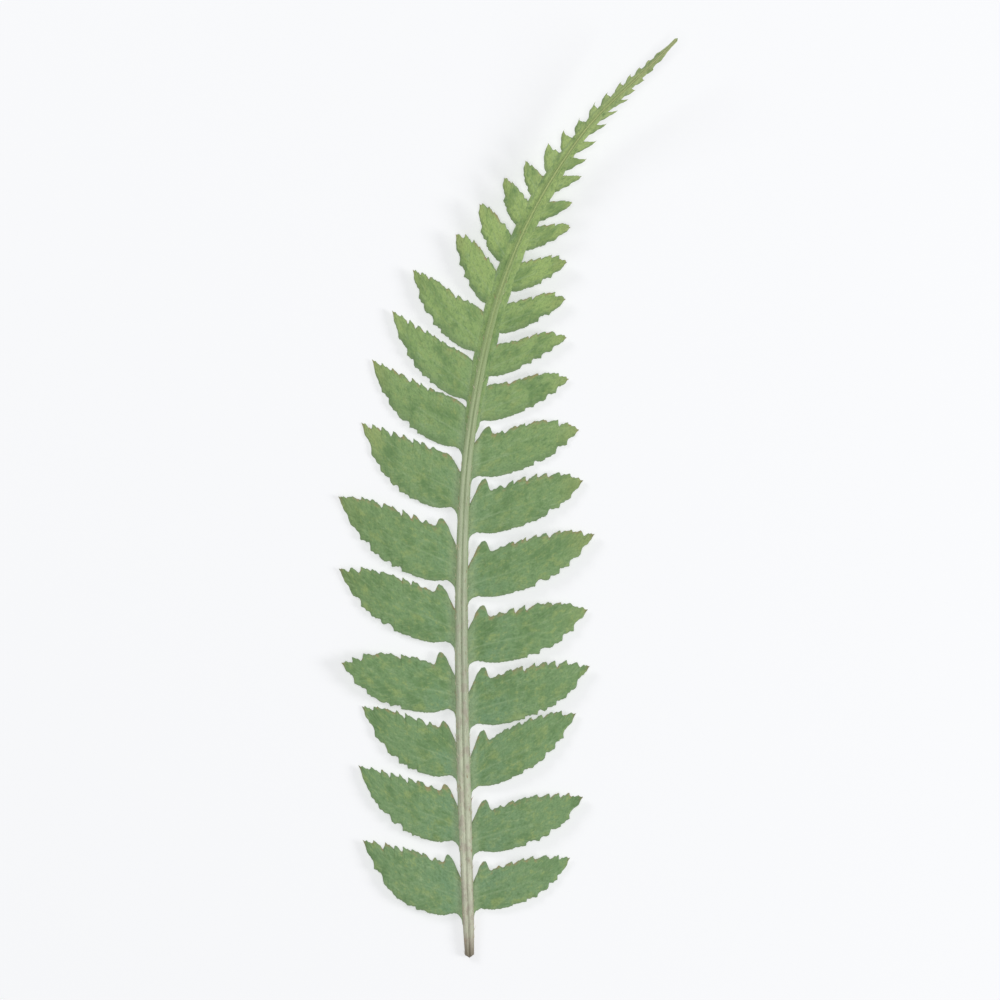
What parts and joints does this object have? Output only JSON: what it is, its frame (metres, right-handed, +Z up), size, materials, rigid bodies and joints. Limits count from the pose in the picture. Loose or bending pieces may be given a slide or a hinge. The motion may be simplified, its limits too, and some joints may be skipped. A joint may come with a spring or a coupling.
{
  "type": "bracken frond",
  "caption": "Pressed bracken frond, cut at the stalk, with toothed pinnae along a grooved rachis; it lies flat and its tip lifts.",
  "frame": {"origin": "centre of the frond's box, on the surface that it lies on", "axes": "+Y from the cut stalk towards the tip, +Z up from the surface, towards the frond's upper face"},
  "size_m": [0.0651, 0.175, 0.0115],
  "materials": {
    "pressed_blade": "matte",
    "dry_rachis": "satin"
  },
  "bodies": {
    "root": {"bracken_frond": "pressed_blade"}
  },
  "joints": []
}
